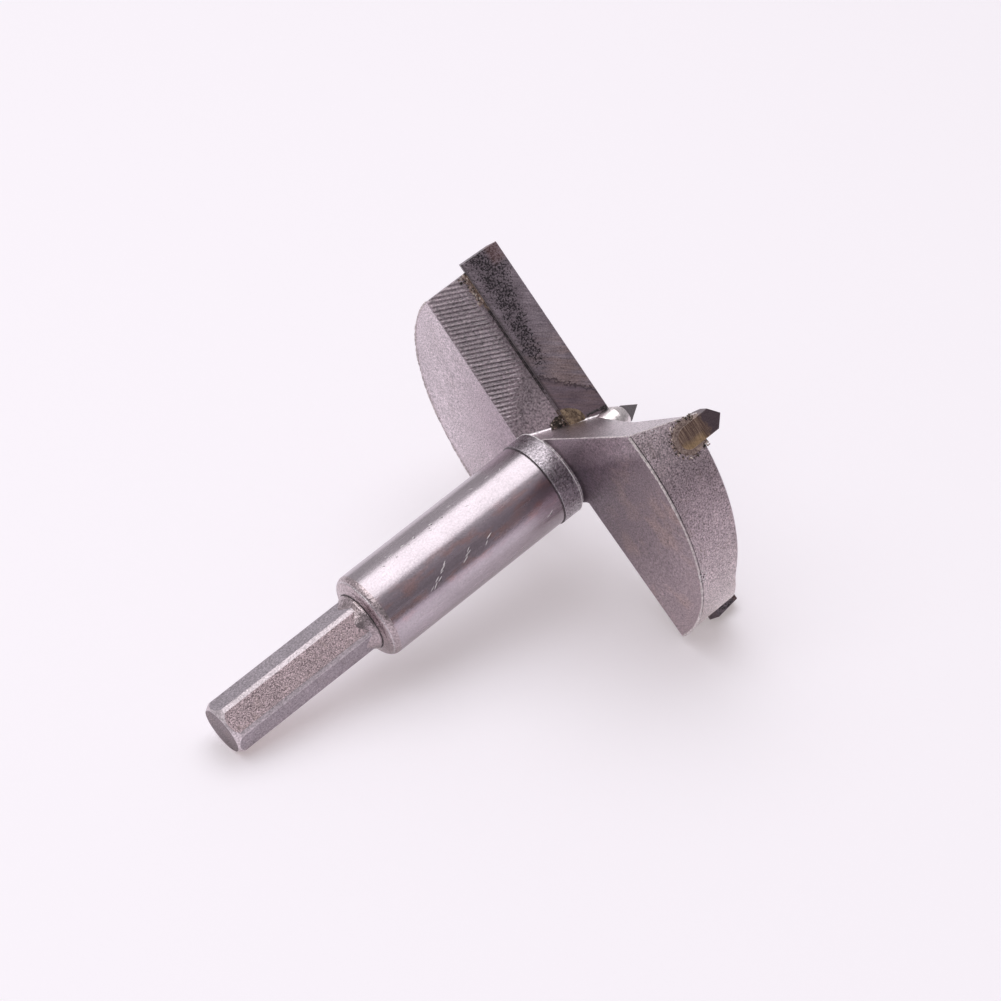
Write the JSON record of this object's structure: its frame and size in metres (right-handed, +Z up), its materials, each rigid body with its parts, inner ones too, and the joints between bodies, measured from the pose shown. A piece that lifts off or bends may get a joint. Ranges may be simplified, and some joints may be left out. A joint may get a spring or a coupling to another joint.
{
  "type": "forstner bit",
  "caption": "Large forstner bit with a hexagonal shank, round body, winged head, brazed carbide cutting edges, scoring spurs and a centre point, lying at rest.",
  "frame": {"origin": "on the table, under the centre of the box round the lying tool", "axes": "+Z up from the table; +X along the table below the tool's axis, from the shank's end to the centre point; the axis itself rises towards the head"},
  "size_m": [0.0846, 0.065, 0.0513],
  "materials": {
    "steel": "satin",
    "carbide": "matte",
    "braze": "matte"
  },
  "bodies": {
    "root": {"body": "steel", "cutter_blade_1": "carbide", "cutter_blade_2": "carbide", "spur_1": "carbide", "spur_2": "carbide", "pilot_tip": "carbide", "blade_braze_1": "braze", "blade_braze_2": "braze", "spur_braze_1": "braze", "spur_braze_2": "braze", "pilot_braze": "braze"}
  },
  "joints": []
}
